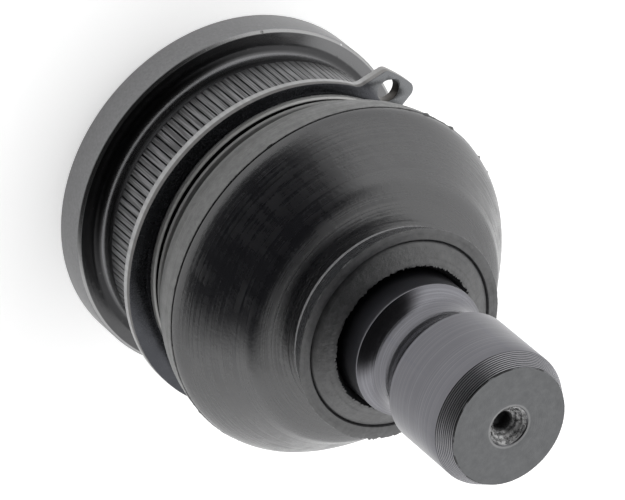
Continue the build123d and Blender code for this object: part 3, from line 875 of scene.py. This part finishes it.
# ---------------------------------------------------------------------------------------------
# CLAMP RING. Flat spring wire wound in a ring, sprung into the groove of the boot's bead. It
# holds the bead on the neck of the housing.
# ---------------------------------------------------------------------------------------------
clamp_inner_r = 22.95
clamp_r = 23.8
clamp_edge_r = 23.75
clamp_z = 6.76
clamp_end_z = 7.84
clamp_outline = [
    (clamp_inner_r, clamp_z),
    (clamp_edge_r, clamp_z),
    (clamp_r, 6.84),
    (clamp_r, 7.24),
    (23.74, 7.3),
    (clamp_r, 7.36),
    (clamp_r, 7.76),
    (clamp_edge_r, clamp_end_z),
    (clamp_inner_r, clamp_end_z),
    (clamp_inner_r, clamp_z),
]
clamp_ring = turn("boot_clamp_ring_wire", clamp_outline, around=256, closed=True)
bpy.ops.object.shade_smooth_by_angle(angle=radians(50))

wire_grey = (0.04, 0.04, 0.042, 1), (0.09, 0.09, 0.09, 1)
wire = Finish("dark_spring_wire", Metallic=0.9)
grain = wire.noise(1800, 3.0)
colour = wire.between(grain, *wire_grey)
wire.feed("Base Color", colour)
wire.feed("Roughness", 0.3 + grain * 0.2)
wire.bump(grain, 0.01 * mm)
wire.dress(clamp_ring)
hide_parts("boot_clamp_ring")
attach(clamp_ring, "housing")

# ---------------------------------------------------------------------------------------------
# CIRCLIP. Stamped from spring steel strip, deepest opposite its gap, with a pierced lug each
# side of the gap for the pliers. Phosphated black on its faces; its sheared edge is paler.
# ---------------------------------------------------------------------------------------------
clip_z = 1.15
clip_thickness = 1.75
clip_r = 26.5
clip_offset = 1.1
clip_inner_r = 22.8
clip_gap_angle = 12.2
lug_r = 29.25
lug_spread = 13.5
near_tip_round = 1.4
near_tip_turn = 3.6
far_tip_spread = 12.5
far_tip_round = 1.2
far_tip_turn = 3
lug_root_round = 2.0
lug_root_turn = 3
hole_angle = 20.8
hole_r = 1.75
hole_inset = 2.75
punch_length = 6


def stamp(name, outline, low, high):
    """A flat stamping between two heights: an outline of (x, y) corners is filled and drawn up."""
    bpy.ops.object.select_all(action="DESELECT")
    bpy.ops.mesh.primitive_circle_add(vertices=len(outline), radius=mm, location=(0, 0, 0))
    blank = bpy.context.object
    blank.name = blank.data.name = name
    for vertex, (x, y) in zip(blank.data.vertices, outline):
        vertex.co = (x * mm, y * mm, low * mm)
    bpy.ops.object.mode_set(mode="EDIT")
    bpy.ops.mesh.select_all(action="SELECT")
    bpy.ops.mesh.edge_face_add()
    rise = (0, 0, (high - low) * mm)
    bpy.ops.mesh.extrude_region_move(TRANSFORM_OT_translate={"value": rise})
    bpy.ops.mesh.select_all(action="SELECT")
    bpy.ops.mesh.normals_make_consistent(inside=False)
    bpy.ops.object.mode_set(mode="OBJECT")
    return blank


def from_gap(radius, angle, side):
    """Point at a radius and an angle from the middle of the circlip's gap."""
    return Vector((-radius * cos(radians(angle)), side * radius * sin(radians(angle))))


def round_corner(before, corner, after, radius, steps=8):
    """Points of a rounding that takes the place of a corner between two straight edges."""
    back = (before - corner).normalized()
    on = (after - corner).normalized()
    half = back.angle(on) / 2
    centre = corner + (back + on).normalized() * radius / sin(half)
    first = corner + back * radius / tan(half) - centre
    last = corner + on * radius / tan(half) - centre
    points = []
    for step in range(steps + 1):
        points.append(centre + first.slerp(last, step / steps) * radius)
    return points


def round_arc(centre_x, radius, first, last, steps):
    """Points on an arc about a centre on the x axis; angles in degrees from the gap's middle."""
    points = []
    for step in range(steps + 1):
        angle = radians(first + (last - first) * step / steps)
        points.append(Vector((centre_x - radius * cos(angle), radius * sin(angle))))
    return points


# Half of the outline runs from the gap round the lug to its root, then round to the far side.
clip_centre = Vector((clip_offset, 0))
root = clip_centre + Vector((-sqrt(clip_r**2 - lug_spread**2), lug_spread))
root_angle = degrees(asin(lug_spread / clip_r))
past_root = clip_centre + from_gap(clip_r, root_angle + 8, 1)
far_tip = Vector((-sqrt(lug_r**2 - far_tip_spread**2), far_tip_spread))
far_tip_angle = degrees(asin(far_tip_spread / lug_r))
near_tip = from_gap(lug_r, clip_gap_angle, 1)
past_near_tip = from_gap(lug_r, clip_gap_angle + near_tip_turn, 1)
lug = [from_gap(clip_inner_r, clip_gap_angle, 1)]
lug += round_corner(lug[0], near_tip, past_near_tip, near_tip_round)
lug += round_arc(0, lug_r, clip_gap_angle + near_tip_turn, far_tip_angle - far_tip_turn, 6)
lug += round_corner(lug[-1], far_tip, root, far_tip_round)
lug += round_corner(far_tip, root, past_root, lug_root_round)
half = lug + round_arc(clip_offset, clip_r, root_angle + lug_root_turn, 180, 100)
other_half = [Vector((point.x, -point.y)) for point in half[-2::-1]]
inside = round_arc(0, clip_inner_r, -clip_gap_angle, clip_gap_angle - 360, 180)
clip_outline = half + other_half + inside[1:-1]
circlip = stamp("circlip_stamped", clip_outline, clip_z, clip_z + clip_thickness)
for side in (1, -1):
    hole = from_gap(lug_r - hole_inset, hole_angle, side)
    bpy.ops.object.select_all(action="DESELECT")
    bpy.ops.mesh.primitive_cylinder_add(
        vertices=48,
        radius=hole_r * mm,
        depth=punch_length * mm,
        location=(hole.x * mm, hole.y * mm, clip_z * mm),
    )
    punch = bpy.context.object
    bpy.ops.object.select_all(action="DESELECT")
    bpy.context.view_layer.objects.active = circlip
    circlip.select_set(True)
    cut = circlip.modifiers.new("hole", "BOOLEAN")
    cut.operation = "DIFFERENCE"
    cut.solver = "EXACT"
    cut.object = punch
    bpy.ops.object.modifier_apply(modifier="hole")
    bpy.data.objects.remove(punch)
ease_edges(circlip, 0.12, 2, 40)

strip_black = (0.035, 0.036, 0.04, 1), (0.08, 0.082, 0.09, 1)
painted_lug_reflection = (0.2, 0.205, 0.21, 1)
sheared = (0.24, 0.24, 0.245, 1), (0.5, 0.5, 0.5, 1)
broken_out = (0.05, 0.046, 0.043, 1)
painted_lug_edge_reflection = (0.27, 0.265, 0.26, 1)
painted_hole_shade = (0.06, 0.055, 0.05, 1)
lug_grey_x = -24.0
strip_black_x = -22.5

strip = Finish("black_spring_strip", Metallic=1.0)
facing = strip.node("ShaderNodeTexCoord", output="Normal")
upright = strip.reckon("ABSOLUTE", strip.parts_of(facing)[2])
on_edge = strip.step(upright, 0.35, 0.75, 1.0, 0.0)
clouds = strip.noise(200, 4.0)
grain = strip.noise(2200, 3.0)
shear = strip.noise(1500, 3.0, stretch=(1, 1, 0.1))
torn_off = strip.step(strip.z, (clip_z + 0.85) * mm, (clip_z + 1.15) * mm)
by_lug = strip.step(strip.x, lug_grey_x * mm, strip_black_x * mm, 1.0, 0.0)
colour = strip.between(clouds, *strip_black)
# Painted reflection: the lugs' faces and edges are painted paler.
colour = strip.between(by_lug * 0.6, colour, painted_lug_reflection)
edge_colour = strip.between(shear, *sheared)
edge_colour = strip.between(torn_off * 0.75, edge_colour, broken_out)
edge_colour = strip.between(by_lug * 0.6, edge_colour, painted_lug_edge_reflection)
hole = from_gap(lug_r - hole_inset, hole_angle, 1)
along = strip.x - hole.x * mm
across = strip.reckon("ABSOLUTE", strip.y) - hole.y * mm
in_hole = along * along + across * across < (hole_r * mm * 1.05) ** 2
# Painted shade on the walls of the pierced holes.
edge_colour = strip.between(in_hole * 0.85, edge_colour, painted_hole_shade)
colour = strip.between(on_edge, colour, edge_colour)
strip.feed("Base Color", colour)
strip.feed("Roughness", 0.18 + grain * 0.1 + clouds * 0.08 + on_edge * 0.14)
strip.bump(grain * 0.5 + shear * on_edge, 0.02 * mm)
strip.dress(circlip)
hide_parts("circlip")
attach(circlip, "housing")

# ---------------------------------------------------------------------------------------------
# THE TABLE, LIGHT AND CAMERA. The joint stands on its flange on a light table, in a white room
# that is dark behind the camera, and is seen from above and in front, with the camera rolled.
# ---------------------------------------------------------------------------------------------
bpy.ops.object.select_all(action="DESELECT")
table_size = 6.0
table_gap = 0.02
table_white = (0.84, 0.84, 0.84, 1), (0.87, 0.87, 0.87, 1)
bpy.ops.mesh.primitive_plane_add(size=table_size, location=(0, 0, (back_z - table_gap) * mm))
table = bpy.context.object
table.name = "table"
bpy.ops.object.transform_apply(location=True, rotation=True, scale=True)
pale_table = Finish("pale_table", Roughness=0.9, Emission_Strength=0.55)
faint = pale_table.noise(40, 3.0)
pale_table.feed("Base Color", pale_table.between(faint, *table_white))
pale_table.shader.inputs["Emission Color"].default_value = (1, 1, 1, 1)
pale_table.dress(table)

camera_back = Vector((0.11497, -0.65204, 0.7494)).normalized()
camera_place = Vector((99.92, -572.95, 665.5)) * mm
camera_roll = 130.2
lens_data = bpy.data.cameras.new("camera")
lens_data.sensor_width = 36
lens_data.lens = 345.6
lens_data.clip_start = 0.05
lens_data.clip_end = 20
camera = bpy.data.objects.new("camera", lens_data)
bpy.context.collection.objects.link(camera)
camera.location = camera_place
camera.rotation_mode = "QUATERNION"
aim = (-camera_back).to_track_quat("-Z", "Y")
camera.rotation_quaternion = aim @ Quaternion((0, 0, 1), radians(camera_roll))
bpy.context.scene.camera = camera

# The room is white, but dark behind the camera and a little to its left, so that dark surfaces
# which face the camera stay dark.
white_wall = 1.6
dark_wall = 0.03
right = camera.rotation_quaternion @ Vector((1, 0, 0))
up = camera.rotation_quaternion @ Vector((0, 1, 0))
room = bpy.data.worlds.new("room")
room.use_nodes = True
bpy.context.scene.world = room
walls = Sheet(room.node_tree)
direction = walls.node("ShaderNodeTexCoord", output="Generated")
dark_side = (camera_back - 0.25 * right - 0.04 * up).normalized()
settings = {"operation": "DOT_PRODUCT"}
toward_dark = walls.node("ShaderNodeVectorMath", settings, {0: direction, 1: dark_side}, "Value")
dark_begins = cos(radians(76))
dark_ends = cos(radians(46))
brightness = walls.step(toward_dark, dark_begins, dark_ends, white_wall, dark_wall)
background = room.node_tree.nodes["Background"]
room.node_tree.links.new(brightness.socket, background.inputs["Strength"])
background.inputs["Color"].default_value = (1, 1, 1, 1)
bpy.context.scene.view_settings.view_transform = "Standard"
